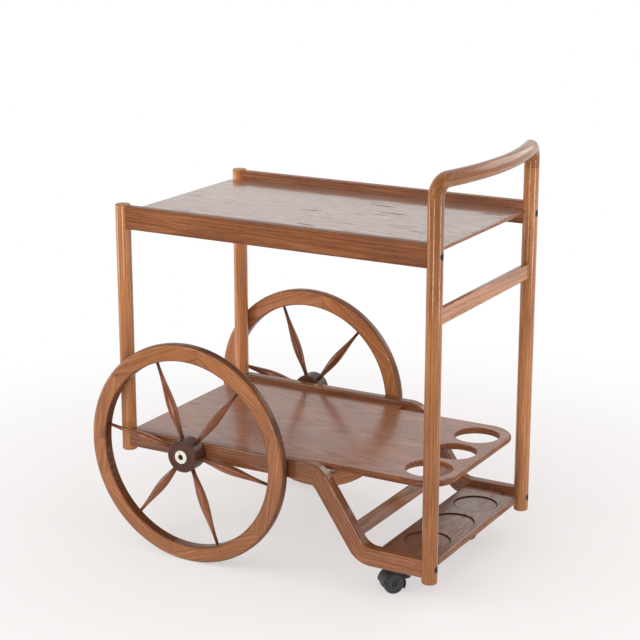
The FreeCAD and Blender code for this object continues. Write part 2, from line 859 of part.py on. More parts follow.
def at_axle(body, sign, turns):
    if turns:
        swing(body, along_y, "wheel_turn")
    place(body, "front_x + wheel_x", f"{sign} * {half_y}", "wheel_r")


def turned(label, sign, corners):
    # A piece turned about the axle, from outward distances and diameters
    body = new_body(label)
    sketch = new_sketch(body, "YZ_Plane")
    outline(sketch, [(f"{sign} * ({out})", f"({diameter}) / 2") for out, diameter in corners])
    revolve(body, sketch, "H_Axis")
    return body


def wheel_rim(side, sign):
    body = new_body(f"wheel_rim_{side}")
    sketch = new_sketch(body, "YZ_Plane")
    plane = f"{sign} * wheel_plane"
    faces = [f"{plane} - rim_thick / 2", f"{plane} + rim_thick / 2"]
    outline(sketch, box_corners(*faces, rim_inner_r, "wheel_r"))
    felloe_angle = f"360 / {spoke_count} - felloe_gap / wheel_r * 180 / pi"
    revolve(body, sketch, "H_Axis", felloe_angle, True)
    soften(body, lambda edge: is_ring(edge, size("wheel_r")), "rim_outer_edge")
    soften(body, lambda edge: is_ring(edge, size("wheel_r") - size("rim_depth")), "rim_inner_edge")
    tenon = "tip_tenon_dia + 2 * glue_gap"
    cut_round(body, "XY_Plane", rim_inner_r, "0", plane, tenon, "tip_tenon + glue_gap")
    repeat_round(body, spoke_count)
    at_axle(body, sign, True)


def wheel_spokes(side, sign):
    body = new_body(f"wheel_spokes_{side}")
    plane = f"{sign} * wheel_plane"
    root = "hub_dia / 2 + glue_gap"
    tip = f"{rim_inner_r} - glue_gap"
    stations = [(root, "spoke_root_dia")]
    for name in ("neck", "belly", "shoulder", "tail"):
        share = f"spoke_{name} / spoke_reach"
        stations.append((f"{root} + ({tip} - ({root})) * {share}", f"spoke_{name}_dia"))
    stations.append((tip, "spoke_tip_dia"))
    sections = []
    for level, diameter in stations:
        sketch = new_sketch(body, "XY_Plane", level)
        circle(sketch, "0", plane, diameter)
        sections.append(sketch)
    spindle = body.newObject("PartDesign::AdditiveLoft", f"{body.Name}_spindle")
    spindle.Profile = sections[0]
    spindle.Sections = sections[1:]
    doc.recompute()
    tenons = [(root, "root_tenon_dia", "root_tenon"), (tip, "tip_tenon_dia", "tip_tenon")]
    for level, diameter, length in tenons:
        sketch = new_sketch(body, "XY_Plane", level)
        circle(sketch, "0", plane, diameter)
        pad(body, sketch, f"2 * {length}")
    repeat_round(body, spoke_count)
    at_axle(body, sign, True)


def wheel_hub(side, sign):
    bore = "bush_dia + 2 * glue_gap"
    lip = "hub_dia - 2 * hub_lip"
    corners = [(hub_inner, bore), (hub_inner, "hub_dia"), (hub_face, "hub_dia"), (hub_face, lip)]
    corners += [(hub_seat, f"{lip} - 2 * hub_dish"), (hub_seat, bore)]
    body = turned(f"wheel_hub_{side}", sign, corners)
    soften(body, lambda edge: is_ring(edge, size("hub_dia") / 2), "hub_edge")
    plane = f"{sign} * wheel_plane"
    tenon = "root_tenon_dia + 2 * glue_gap"
    cut_round(body, "XY_Plane", "hub_dia / 2", "0", plane, tenon, "root_tenon + glue_gap")
    repeat_round(body, spoke_count, [body.Tip])
    at_axle(body, sign, True)


def wheel_fittings(side, sign):
    bore = "axle_dia + 2 * run_play"
    bush_corners = box_corners(hub_inner, hub_seat, bore, "bush_dia")
    at_axle(turned(f"hub_bush_{side}", sign, bush_corners), sign, True)

    grip_start = "side_rail_thick / 2 - axle_grip"
    collar_end = "side_rail_thick / 2 + axle_collar"
    tip = f"{washer_front} + axle_tip"
    axle_corners = [
        (grip_start, "0"),
        (grip_start, "axle_dia"),
        ("side_rail_thick / 2", "axle_dia"),
        ("side_rail_thick / 2", "axle_collar_dia"),
        (collar_end, "axle_collar_dia"),
        (collar_end, "axle_dia"),
        (washer_front, "axle_dia"),
        (tip, "axle_dia - 2 * axle_tip"),
        (tip, "0"),
    ]
    at_axle(turned(f"axle_pin_{side}", sign, axle_corners), sign, False)

    hole = "axle_dia + 2 * run_play"
    washer_corners = box_corners(washer_back, washer_front, hole, "washer_dia")
    washer = turned(f"axle_washer_{side}", sign, washer_corners)
    soften(washer, lambda edge: is_ring(edge, size("washer_dia") / 2), "washer_thick / 4")
    at_axle(washer, sign, False)


for side, sign in sides.items():
    wheel_rim(side, sign)
    wheel_spokes(side, sign)
    wheel_hub(side, sign)
    wheel_fittings(side, sign)


# Casters: a hooded fork with a wheel on each side of its web, swivelling on a king pin.
# Drawn with the wheels trailing towards -X, then turned about the king pin to where they rest.

def at_swivel(body, side, sign):
    swing(body, along_z, f"caster_turn_{side}")
    place(body, f"front_x + {caster_x}", f"{sign} * caster_y")


def caster_plate(side, sign):
    body = new_body(f"caster_plate_{side}")
    sketch = new_sketch(body, "XY_Plane", f"{floor_low} - plate_thick / 2")
    half = "plate_side / 2"
    outline(sketch, box_corners(f"-{half}", half, f"-{half}", half))
    pad(body, sketch, "plate_thick")
    soften(body, lambda edge: edge.BoundBox.ZLength > tiny, "plate_corner")
    cut_round(body, "XY_Plane", plate_low, "0", "0", "king_pin_dia + 2 * run_play", "2 * plate_thick")
    for i in (-1, 1):
        for j in (-1, 1):
            x = f"{i} * plate_hole_gap / 2"
            y = f"{j} * plate_hole_gap / 2"
            cut_round(body, "XY_Plane", plate_low, x, y, "screw_dia + 2 * glue_gap", "2 * plate_thick")
    place(body, f"front_x + {caster_x}", f"{sign} * caster_y")

    pin = rod(f"caster_king_pin_{side}", "king_pin_dia", f"{floor_low} - king_pin_low")
    place(pin, f"front_x + {caster_x}", f"{sign} * caster_y", "king_pin_low")
    parts.append(pin)

    screws = []
    for x, y in screw_places(sign):
        head = rod("screw_head", "screw_head_dia", "screw_head")
        shank = rod("screw_shank", "screw_dia", "screw_head + plate_thick + screw_reach")
        screw = doc.addObject("Part::Fuse", "screw")
        screw.Base = head
        screw.Tool = shank
        place(screw, f"front_x + {x}", y, f"{plate_low} - screw_head")
        screws.append(screw)
    group(f"caster_screws_{side}", screws)


def caster_hood(side, sign):
    body = new_body(f"caster_hood_{side}")
    sketch = new_sketch(body, "XZ_Plane")
    circle(sketch, "-caster_trail", caster_r, f"2 * {hood_outer_r}")
    pad(body, sketch, f"2 * {caster_outer}")
    rounded_r = value(hood_outer_r)
    soften(body, lambda edge: is_ring(edge, rounded_r), "caster_hood_edge")
    sketch = new_sketch(body, "XY_Plane", f"(boss_low + {boss_top}) / 2")
    circle(sketch, "0", "0", "boss_dia")
    pad(body, sketch, f"{boss_top} - boss_low")
    wheel_room = f"2 * {hood_inner_r}"
    room_depth = f"{caster_outer} - caster_web / 2"
    for face in (-1, 1):
        offset = f"{face} * {caster_outer}"
        cut_round(body, "XZ_Plane", offset, "-caster_trail", caster_r, wheel_room, room_depth)
    front_end = f"({hood_outer_r} - caster_trail)"
    back_end = f"(-caster_trail - {hood_outer_r})"
    skirt = [(back_end, "-caster_wheel_dia"), (front_end, "-caster_wheel_dia")]
    skirt += [(front_end, "hood_front_low"), (back_end, "hood_back_low")]
    cut_box(body, "XZ_Plane", "0", skirt, "caster_wheel_dia")
    pin_depth = f"{boss_top} - king_pin_low + turn_gap"
    cut_round(body, "XY_Plane", boss_top, "0", "0", "king_pin_dia + 2 * run_play", pin_depth)
    axle_hole = "caster_axle_dia + 2 * run_play"
    cut_round(body, "XZ_Plane", "0", "-caster_trail", caster_r, axle_hole, "caster_wheel_dia")
    at_swivel(body, side, sign)


def at_caster_axle(body, side, sign):
    turn = f"caster_turn_{side}"
    swing(body, along_z, turn)
    x = f"front_x + {caster_x} - caster_trail * cos({turn} * 1 deg)"
    y = f"{sign} * caster_y - caster_trail * sin({turn} * 1 deg)"
    place(body, x, y, caster_r)


def caster_axle(side, sign):
    seat = f"({caster_outer} - head_recess + turn_gap)"
    end = f"({seat} + caster_axle_head)"
    half = [(seat, "caster_axle_dia"), (seat, "caster_axle_head_dia")]
    half += [(end, "caster_axle_head_dia"), (end, "0")]
    other = [(f"-{out}", diameter) for out, diameter in reversed(half)]
    at_caster_axle(turned(f"caster_axle_{side}", 1, half + other), side, sign)


def caster_wheel(side, sign, name, face):
    bore = "caster_axle_dia + 2 * run_play"
    recess = f"{caster_outer} - head_recess"
    dish = f"{caster_outer} - wheel_dish"
    rim = "caster_wheel_dia - 2 * caster_wheel_rim"
    corners = [
        (caster_inner, bore),
        (caster_inner, "caster_wheel_dia"),
        (caster_outer, "caster_wheel_dia"),
        (caster_outer, rim),
        (dish, f"{rim} - 2 * wheel_dish"),
        (dish, "caster_nave_dia + 2 * wheel_dish"),
        (caster_outer, "caster_nave_dia"),
        (caster_outer, "head_recess_dia"),
        (recess, "head_recess_dia"),
        (recess, bore),
    ]
    body = turned(f"caster_wheel_{name}_{side}", face, corners)
    soften(body, lambda edge: is_ring(edge, size("caster_wheel_dia") / 2), "caster_wheel_edge")
    at_caster_axle(body, side, sign)


for side, sign in sides.items():
    caster_plate(side, sign)
    caster_hood(side, sign)
    caster_axle(side, sign)
    caster_wheel(side, sign, "a", -1)
    caster_wheel(side, sign, "b", 1)


# Checks, then one file for each piece

doc.recompute()
for item in doc.Objects:
    if "Invalid" in item.State or "Error" in item.State:
        raise RuntimeError(f"{item.Label} failed")
for item in parts:
    if item.Shape.isNull() or not item.Shape.isValid():
        raise RuntimeError(f"{item.Label} has no valid shape")

os.makedirs("parts", exist_ok=True)
for item in parts:
    item.Shape.exportStep(f"parts/{item.Label}.step")
    print(item.Label, len(item.Shape.Solids), "solids", round(item.Shape.Volume / 1000, 2), "cm3")
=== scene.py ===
import json
import math

import bpy
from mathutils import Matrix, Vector


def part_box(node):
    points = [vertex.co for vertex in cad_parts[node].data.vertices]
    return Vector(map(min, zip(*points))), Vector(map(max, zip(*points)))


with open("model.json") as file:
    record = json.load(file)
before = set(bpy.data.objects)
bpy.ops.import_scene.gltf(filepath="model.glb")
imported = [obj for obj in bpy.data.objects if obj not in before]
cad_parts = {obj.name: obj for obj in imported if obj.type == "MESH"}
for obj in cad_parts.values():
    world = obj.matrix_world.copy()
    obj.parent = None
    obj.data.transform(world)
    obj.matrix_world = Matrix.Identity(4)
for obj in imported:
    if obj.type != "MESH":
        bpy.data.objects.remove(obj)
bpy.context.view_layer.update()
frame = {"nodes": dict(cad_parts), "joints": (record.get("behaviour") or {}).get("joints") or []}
nodes = frame["nodes"]
joints = {joint["name"]: joint for joint in frame["joints"]}
print("frame loaded:", len(nodes), "nodes")

millimetres = 1000.0
reliefDepth = 0.0005


class Flow:
    # One shader socket, so that shader sums read as sums

    def __init__(self, tree, socket=None):
        self.tree = tree
        self.socket = socket

    def node(self, kind, settings=None, feeds=None, output=0):
        # Adds a node: its settings first, then a value or a link for each of its sockets
        made = self.tree.nodes.new(kind)
        for name, setting in (settings or {}).items():
            if name == "stops":
                fillRamp(made.color_ramp, setting)
            else:
                setattr(made, name, setting)
        for name, feed in (feeds or {}).items():
            if isinstance(feed, Flow):
                self.tree.links.new(feed.socket, made.inputs[name])
            else:
                made.inputs[name].default_value = feed
        return Flow(self.tree, made.outputs[output] if made.outputs else None)

    def maths(self, operation, *values):
        return self.node("ShaderNodeMath", {"operation": operation}, dict(enumerate(values)))

    def __add__(self, other):
        return self.maths("ADD", self, other)

    def __radd__(self, other):
        return self.maths("ADD", other, self)

    def __sub__(self, other):
        return self.maths("SUBTRACT", self, other)

    def __rsub__(self, other):
        return self.maths("SUBTRACT", other, self)

    def __mul__(self, other):
        return self.maths("MULTIPLY", self, other)

    def __truediv__(self, other):
        return self.maths("DIVIDE", self, other)

    def __abs__(self):
        return self.maths("ABSOLUTE", self)


def fillRamp(ramp, stops):
    while len(ramp.elements) < len(stops):
        ramp.elements.new(0.5)
    for element, (place, colour) in zip(ramp.elements, stops):
        element.position = place
        element.color = (*colour, 1)


def between(flow, low, high):
    # 0 below low, 1 above high, smooth in the middle; falls instead of rises where low is the larger
    feeds = {"Value": flow, "From Min": low, "From Max": high}
    return flow.node("ShaderNodeMapRange", {"interpolation_type": "SMOOTHSTEP"}, feeds)


def limit(value, low, high):
    return value.maths("MAXIMUM", value.maths("MINIMUM", value, high), low)


def lengthOf(first, second):
    return first.maths("SQRT", first * first + second * second)


def blendColours(flow, factor, first, second):
    # The mix node's sockets 6 and 7 take the colours, and its output 2 gives the blend
    feeds = {0: factor, 6: (*first, 1) if isinstance(first, tuple) else first}
    feeds[7] = (*second, 1) if isinstance(second, tuple) else second
    return flow.node("ShaderNodeMix", {"data_type": "RGBA"}, feeds, 2)


def noise(flow, place, detail, roughness=0.55):
    vector = flow.node("ShaderNodeCombineXYZ", {}, dict(enumerate(place)))
    feeds = {"Vector": vector, "Scale": 1.0, "Detail": detail, "Roughness": roughness}
    return flow.node("ShaderNodeTexNoise", {}, feeds)


def randomTone(flow, number):
    return flow.node("ShaderNodeTexWhiteNoise", {"noise_dimensions": "1D"}, {"W": number})


def newMaterial(name):
    material = bpy.data.materials.new(name)
    material.use_nodes = True
    material.node_tree.nodes.clear()
    return material, Flow(material.node_tree)


def placeInMillimetres(flow):
    coordinates = flow.node("ShaderNodeTexCoord", {}, {}, "Object")
    feeds = {0: coordinates, "Scale": millimetres}
    scaled = flow.node("ShaderNodeVectorMath", {"operation": "SCALE"}, feeds)
    return [flow.node("ShaderNodeSeparateXYZ", {}, {0: scaled}, axis) for axis in "XYZ"]


def surface(flow, feeds, relief, strength):
    # relief is the height of the surface, as a share of the relief's depth
    bumpFeeds = {"Strength": strength, "Distance": reliefDepth, "Height": relief}
    feeds = {**feeds, "Normal": flow.node("ShaderNodeBump", {}, bumpFeeds)}
    shader = flow.node("ShaderNodeBsdfPrincipled", {}, feeds)
    flow.node("ShaderNodeOutputMaterial", {}, {"Surface": shader})


def paint(names, material):
    for name in names:
        mesh = nodes[name].data
        mesh.materials.clear()
        mesh.materials.append(material)


def middleOf(name):
    low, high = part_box(name)
    return (low + high) / 2 * millimetres


def halvesOf(name):
    low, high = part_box(name)
    return {axis: (top - bottom) / 2 * millimetres for axis, bottom, top in zip("xyz", low, high)}


def localPlace(place, middle):
    return {axis: distance - centre for axis, distance, centre in zip("xyz", place, middle)}


def wheelMiddle(side):
    return Vector(joints[f"wheel_{side}_spin"]["pos_m"]) * millimetres


# Wood: growth rings round a heart that lies beside the piece, with fibres and open pores along the grain
# Tones are the stain's colours; the far pieces take the same stain made lighter, as painted light

postTones = {"dark": (0.110, 0.035, 0.012), "mid": (0.37, 0.143, 0.049), "light": (0.62, 0.285, 0.110)}
handleTones = {"dark": (0.080, 0.025, 0.008), "mid": (0.255, 0.090, 0.026), "light": (0.46, 0.195, 0.066)}
wheelTones = {"dark": (0.070, 0.023, 0.010), "mid": (0.275, 0.101, 0.035), "light": (0.53, 0.227, 0.087)}
spokeTones = {"dark": (0.050, 0.014, 0.006), "mid": (0.180, 0.055, 0.019), "light": (0.39, 0.148, 0.054)}
railTones = {"dark": (0.055, 0.017, 0.007), "mid": (0.190, 0.065, 0.024), "light": (0.40, 0.160, 0.064)}
panelTones = {"dark": (0.055, 0.018, 0.009), "mid": (0.18, 0.066, 0.031), "light": (0.33, 0.140, 0.072)}
shelfTones = {"dark": (0.066, 0.020, 0.008), "mid": (0.215, 0.069, 0.024), "light": (0.39, 0.146, 0.058)}
floorTones = {"dark": (0.038, 0.012, 0.005), "mid": (0.140, 0.047, 0.019), "light": (0.26, 0.099, 0.043)}
hubTones = {"dark": (0.030, 0.011, 0.007), "mid": (0.074, 0.029, 0.019), "light": (0.135, 0.058, 0.038)}
dowelTones = {"dark": (0.42, 0.27, 0.15), "mid": (0.58, 0.40, 0.24), "light": (0.68, 0.50, 0.32)}
farSidePaintedLight = {"post": 1.3, "rail": 1.35, "rim": 1.35}


def lighter(tones, times):
    return {tone: tuple(times * part for part in colour) for tone, colour in tones.items()}


# The far front post, far tray rail and far rim get lighter copies of their tones: painted light
farPostPaintedLitTones = lighter(postTones, farSidePaintedLight["post"])
farRailPaintedLitTones = lighter(railTones, farSidePaintedLight["rail"])
rimTones = {"left": wheelTones, "right": lighter(wheelTones, farSidePaintedLight["rim"])}

# A figure has the grain's sizes in millimetres (heart, wander, ring, fleckSize), the shares that rings,
# streaks, flecks, pores, leaf and edge have in the colour, and the gloss and lacquer

# Below 0, edge darkens the arrises: painted shade on the rails' rounded arrises, end-grain stain on the front
# posts' ends
barFigure = {
    "heart": (14.0, 22.0), "wander": 9.0, "tilt": 0.014, "ring": 5.2, "rings": 0.14, "pores": 0.7,
    "edge": -0.14, "leaf": 0.12, "streaks": 0.62, "flecks": 0.3, "fleckSize": (26.0, 2.6), "dull": 0.4,
    "roughness": 0.34, "relief": 0.10, "lacquer": 0.8, "lacquerRough": 0.10, "lacquerIor": 1.5, "shine": 0.15,
}
postFigure = {**barFigure, "streaks": 0.55, "pores": 0.5}
handleFigure = {**postFigure, "lacquer": 0.55, "lacquerRough": 0.07}
# On the wheels edge is strong: painted shade on the rims' rounded arrises, and a darkening of the spokes
# towards their ends
wheelFigure = {**barFigure, "streaks": 0.5, "pores": 0.6, "edge": -0.48, "leaf": 0.06}
boardFigure = {
    "heart": (0.0, 24.0), "wander": 20.0, "tilt": 0.075, "ring": 6.5, "rings": 0.26, "pores": 0.9,
    "edge": 0.16, "leaf": 0.20, "streaks": 0.75, "flecks": 0.45, "fleckSize": (46.0, 10.0), "dull": 0.9,
    "roughness": 0.32, "relief": 0.12, "lacquer": 1.0, "lacquerRough": 0.12, "lacquerIor": 1.9, "shine": 0.25,
}
shelfFigure = {
    **boardFigure, "rings": 0.20, "edge": -0.20, "streaks": 0.6, "flecks": 0.35, "dull": 0.3,
    "roughness": 0.40, "lacquer": 0.8, "lacquerRough": 0.18, "lacquerIor": 1.55,
}
floorFigure = {**shelfFigure, "rings": 0.14, "edge": 0.20, "lacquer": 0.9, "lacquerRough": 0.2}
hubFigure = {**barFigure, "roughness": 0.46, "lacquer": 0.3, "lacquerRough": 0.2}

# Sizes of the noises are along the grain and across it, in millimetres; shifts set the pieces apart
grainNoises = {
    "wander": {"size": (170.0, 26.0), "shifts": 1.0, "detail": 2.0, "roughness": 0.55},
    "fibre": {"size": (34.0, 0.9), "shifts": 0.0, "detail": 3.0, "roughness": 0.65},
    "streak": {"size": (60.0, 3.6), "shifts": 1.0, "detail": 3.0, "roughness": 0.6},
    "pores": {"size": (9.0, 0.55), "shifts": 0.0, "detail": 1.0, "roughness": 0.4},
    "patch": {"size": (240.0, 50.0), "shifts": 2.0, "detail": 1.0, "roughness": 0.55},
    "flecks": {"shifts": 3.0, "detail": 2.0, "roughness": 0.6},
}
grainRanges = {
    "late": (0.1, 0.9), "pore": (0.58, 0.70), "fleck": (0.55, 0.64), "fleckPatch": (0.44, 0.54),
    "earlyWood": (0.60, 0.25), "openStreak": (0.62, 0.36),
}
grainShares = {
    "fibre": 0.40, "patch": 0.65, "balance": 0.025, "fibreGloss": 0.12, "poreGloss": 0.14, "glossDrop": 0.06,
    "fibreRelief": 0.5, "lateRelief": 0.3, "poreRelief": 0.8, "streakDull": 0.2, "poreDull": 0.75,
    "edgeBare": 0.95,
}
woodIor = 1.45
seedStep = 37.0
evenTone = 0.5


def grainNoise(flow, place, shift, size, shifts, detail, roughness):
    along, across, depth = place
    longSize, crossSize = size
    spot = (along / longSize, across / crossSize, depth / crossSize + shifts * shift)
    return noise(flow, spot, detail, roughness)


def wood(name, tones, figure, route, seed):
    # The route gives the distances along and across the grain and into the piece, in millimetres, a tone
    # from 0 to 1, and an edge, which is 1 on arrises, cut sides and spoke ends, and below 0 in the painted
    # shade of the bottle recesses
    material, flow = newMaterial(name)
    along, across, depth, tone, edge = route(flow, *placeInMillimetres(flow))
    shift = seedStep * seed
    along = along + shift
    place = (along, across, depth)

    wander = grainNoise(flow, place, shift, **grainNoises["wander"]) - 0.5
    heartAcross, heartBelow = figure["heart"]
    sideways = across + heartAcross + wander * figure["wander"]
    tilted = (along - shift) * figure["tilt"]
    below = depth + heartBelow + tilted + wander * (0.5 * figure["wander"])
    late = between(flow.maths("FRACT", lengthOf(sideways, below) / figure["ring"]), *grainRanges["late"])

    fibre = grainNoise(flow, place, shift, **grainNoises["fibre"])
    streak = grainNoise(flow, place, shift, **grainNoises["streak"])
    pores = grainNoise(flow, place, shift, **grainNoises["pores"])
    patch = grainNoise(flow, place, shift, **grainNoises["patch"])
    flecks = grainNoise(flow, place, shift, figure["fleckSize"], **grainNoises["flecks"])
    pore = between(pores, *grainRanges["pore"]) * (1.0 - late)
    fleck = between(flecks, *grainRanges["fleck"]) * between(patch, *grainRanges["fleckPatch"])
    fleck = fleck * between(late, *grainRanges["earlyWood"])

    figured = late * figure["rings"] + fibre * grainShares["fibre"] + streak * figure["streaks"]
    figured = figured + patch * grainShares["patch"]
    shade = figured + (tone - 0.5) * figure["leaf"] + edge * figure["edge"]
    shade = shade - (grainShares["balance"] + 0.5 * (figure["rings"] + figure["streaks"]))
    stops = [(0.0, tones["dark"]), (0.5, tones["mid"]), (1.0, tones["light"])]
    colour = flow.node("ShaderNodeValToRGB", {"stops": stops}, {"Fac": shade})
    colour = blendColours(flow, fleck * figure["flecks"], colour, tones["dark"])
    colour = blendColours(flow, pore * figure["pores"], colour, tones["dark"])

    gloss = fibre * grainShares["fibreGloss"] + pore * grainShares["poreGloss"]
    gloss = gloss + (figure["roughness"] - grainShares["glossDrop"])
    relief = fibre * grainShares["fibreRelief"] + late * grainShares["lateRelief"]
    relief = relief - pore * grainShares["poreRelief"]
    openStreak = between(streak, *grainRanges["openStreak"]) * grainShares["streakDull"]
    dull = openStreak + pore * grainShares["poreDull"] + fleck * figure["dull"]
    sunk = flow.maths("MINIMUM", dull, 1.0)
    bare = flow.maths("MINIMUM", flow.maths("ABSOLUTE", edge), 1.0) * grainShares["edgeBare"]
    lacquer = (1 - sunk) * (1 - bare) * figure["lacquer"]
    feeds = {
        "Base Color": colour, "Roughness": gloss, "IOR": woodIor, "Specular IOR Level": figure["shine"],
        "Coat Weight": lacquer, "Coat Roughness": figure["lacquerRough"], "Coat IOR": figure["lacquerIor"],
    }
    surface(flow, feeds, relief, figure["relief"])
    return material


def straightGrain(name, order, stainAndShadeAxis=None, arris=0.0):
    # order names the axes: along the grain, across it, and into the piece
    # The third argument names the axis at whose two ends the arrises darken: end-grain stain on the front
    # posts' ends, painted shade on the tray rails' rounded top and bottom
    middle = middleOf(name)
    halves = halvesOf(name)

    def route(flow, *place):
        local = localPlace(place, middle)
        edge = 0.0
        if stainAndShadeAxis:
            edge = between(abs(local[stainAndShadeAxis]), halves[stainAndShadeAxis] - arris, halves[stainAndShadeAxis])
        return local[order[0]], local[order[1]], local[order[2]], evenTone, edge
    return route


straightPieces = {
    "front_post_left": ("zxy", 3, postTones, "z", 3.0),
    "front_post_right": ("zxy", 5, farPostPaintedLitTones, "z", 3.0),
    # The near rear post takes the handle's darker tones as painted shade; the far pieces take lighter tones
    # as painted light
    "rear_post_left": ("zxy", 8, handleTones, None, 0.0),
    "rear_post_right": ("zxy", 12, postTones, None, 0.0),
    "tray_rail_left": ("xzy", 2, railTones, "z", 6.0),
    "tray_rail_right": ("xzy", 7, farRailPaintedLitTones, "z", 6.0),
    "rear_stretcher": ("yzx", 4, postTones, None, 0.0),
    "cross_stretcher": ("yxz", 9, railTones, None, 0.0),
}
for name, (order, seed, tones, stainAndShadeAxis, arris) in straightPieces.items():
    figure = barFigure if tones in (railTones, farRailPaintedLitTones) else postFigure
    paint([name], wood(name, tones, figure, straightGrain(name, order, stainAndShadeAxis, arris), seed))

dowels = {"names": ("handle_dowels", "rear_stretcher_dowels", "cross_stretcher_dowels"), "seed": 1}
for name in dowels["names"]:
    paint([name], wood(name, dowelTones, barFigure, straightGrain(name, "yxz"), dowels["seed"]))

handleBar = {"radius": 13.8, "turnOver": 120.0, "seed": 6}


def handleGrain(flow, x, y, z):
    # Follows the bar down both elbows and round its bow
    low, high = (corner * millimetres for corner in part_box("handle_rail"))
    level = high.z - handleBar["radius"]
    elbowY = high.y - handleBar["radius"]
    crownX = high.x - handleBar["radius"]
    footX = low.x + handleBar["radius"]
    rise = z - level
    lean = limit(y / handleBar["turnOver"], -1.0, 1.0)
    across = flow.maths("MAXIMUM", abs(y) - elbowY, rise)
    depth = x - crownX + (y / elbowY) * (y / elbowY) * (crownX - footX)
    return y - rise * lean, across, depth, evenTone, 0.0


paint(["handle_rail"], wood("handle_rail", handleTones, handleFigure, handleGrain, handleBar["seed"]))

sideRailLine = {"upperBend": (100.0, 207.5), "lowerBend": (190.0, 74.0), "half": 20.0, "arris": 5.0,
                "seeds": {"left": 10, "right": 14}}


def sideRailGrain(name):
    # Follows the rail from its upper run down the slope to its lower run
    upperX, upperZ = sideRailLine["upperBend"]
    lowerX, lowerZ = sideRailLine["lowerBend"]
    slope = math.atan2(upperZ - lowerZ, lowerX - upperX)
    middle = middleOf(name)

    def route(flow, x, y, z):
        onSlope = (x - upperX) * math.sin(slope) + (z - upperZ) * math.cos(slope)
        upper = flow.maths("MAXIMUM", z - upperZ, onSlope)
        across = flow.maths("MINIMUM", upper, z - lowerZ)
        # The rail's long arrises darken as painted shade
        edge = between(abs(across), sideRailLine["half"] - sideRailLine["arris"], sideRailLine["half"])
        return x - z, across, y - middle.y, evenTone, edge
    return route


for side, seed in sideRailLine["seeds"].items():
    name = f"side_rail_{side}"
    paint([name], wood(name, railTones, barFigure, sideRailGrain(name), seed))

veneer = {"leafWidth": 126.0, "leafStep": 53.0, "edgeDepth": 0.7, "toneSeed": 0.5}
veneerPieces = {
    "tray_panel": ("xyz", 2, panelTones, boardFigure),
    "shelf_panel": ("xyz", 5, shelfTones, shelfFigure),
    "bottle_floor": ("yxz", 9, floorTones, floorFigure),
}


def veneerGrain(name, order):
    # Leaves of veneer side by side, each turned over from the last
    middle = middleOf(name)
    skin = halvesOf(name)["z"] - veneer["edgeDepth"]
    width = veneer["leafWidth"]

    def route(flow, *place):
        local = localPlace(place, middle)
        across = local[order[1]]
        leaf = flow.maths("FLOOR", across / width + 0.5)
        folded = flow.maths("PINGPONG", across + width / 2, width) - width / 2
        tone = randomTone(flow, leaf + veneer["toneSeed"])
        edge = 1 - between(abs(local["z"]), skin - veneer["edgeDepth"], skin)
        return local[order[0]] + leaf * veneer["leafStep"], folded, local[order[2]], tone, edge
    return route


# The recess's corner and the line round its lip are darkened as painted shade
bottleSeats = {"x": 267.0, "pitch": 100.0, "radius": 40.0, "rim": (0.6, 0.0), "recessShade": (-3.0, -0.5),
               "recessShadeShare": 0.9, "lipOutside": (1.8, 0.4), "lipInside": (-0.6, 0.2), "lipShadeShare": 3.0}


def floorGrain(name, order):
    # Painted shade darkens the corner of each bottle's recess, and a line round its lip
    board = veneerGrain(name, order)

    def route(flow, x, y, z):
        along, across, depth, tone, edge = board(flow, x, y, z)
        seat = limit(flow.maths("ROUND", y / bottleSeats["pitch"]), -1.0, 1.0)
        fromX = x - bottleSeats["x"]
        fromY = y - seat * bottleSeats["pitch"]
        outward = lengthOf(fromX, fromY) - bottleSeats["radius"]
        inside = between(outward, *bottleSeats["rim"])
        recessShade = between(outward, *bottleSeats["recessShade"]) * inside
        lipShade = between(outward, *bottleSeats["lipOutside"]) * between(outward, *bottleSeats["lipInside"])
        sidesAndShade = edge * (1 - inside) - recessShade * bottleSeats["recessShadeShare"] - lipShade * bottleSeats["lipShadeShare"]
        return along, across, depth, tone, sidesAndShade
    return route


for name, (order, seed, tones, figure) in veneerPieces.items():
    grain = floorGrain if name == "bottle_floor" else veneerGrain
    paint([name], wood(name, tones, figure, grain(name, order), seed))

wheelSpokes = {"angle": -9.4, "step": 60.0, "rimMiddle": 189.5, "rimHalf": 17.5, "arris": 7.0,
               "bellyAt": 101.0, "belly": 38.0, "bellyFade": 34.0, "toneSeed": 3.5, "lengthStep": 90.0,
               "felloeStep": 5.0, "spokeStep": 3.0, "seeds": {"left": 3, "right": 11}}


def wheelSector(flow, side, x, y, z):
    # The spoke or felloe that a point belongs to, its distances out from the axle, round it and along it,
    # and a tone
    middle = wheelMiddle(side)
    step = math.radians(wheelSpokes["step"])
    first = math.radians(wheelSpokes["angle"])
    fromX = x - middle.x
    fromZ = z - middle.z
    sector = flow.maths("FLOOR", (flow.maths("ARCTAN2", fromZ, fromX) - first) / step + 0.5)
    turn = sector * step + first
    cosine = flow.maths("COSINE", turn)
    sine = flow.maths("SINE", turn)
    tone = randomTone(flow, sector + wheelSpokes["toneSeed"])
    return sector, fromX * cosine + fromZ * sine, fromZ * cosine - fromX * sine, y - middle.y, tone


def felloeGrain(side):
    # The grain runs straight through each felloe, and the arrises round the wheel, which darken as painted
    # shade
    middle = wheelSpokes["rimMiddle"]
    half = wheelSpokes["rimHalf"]

    def route(flow, x, y, z):
        sector, outward, around, depth, tone = wheelSector(flow, side, x, y, z)
        edge = between(abs(lengthOf(outward, around) - middle), half - wheelSpokes["arris"], half)
        along = around + sector * wheelSpokes["lengthStep"]
        return along, outward - middle, depth + sector * wheelSpokes["felloeStep"], tone, edge
    return route


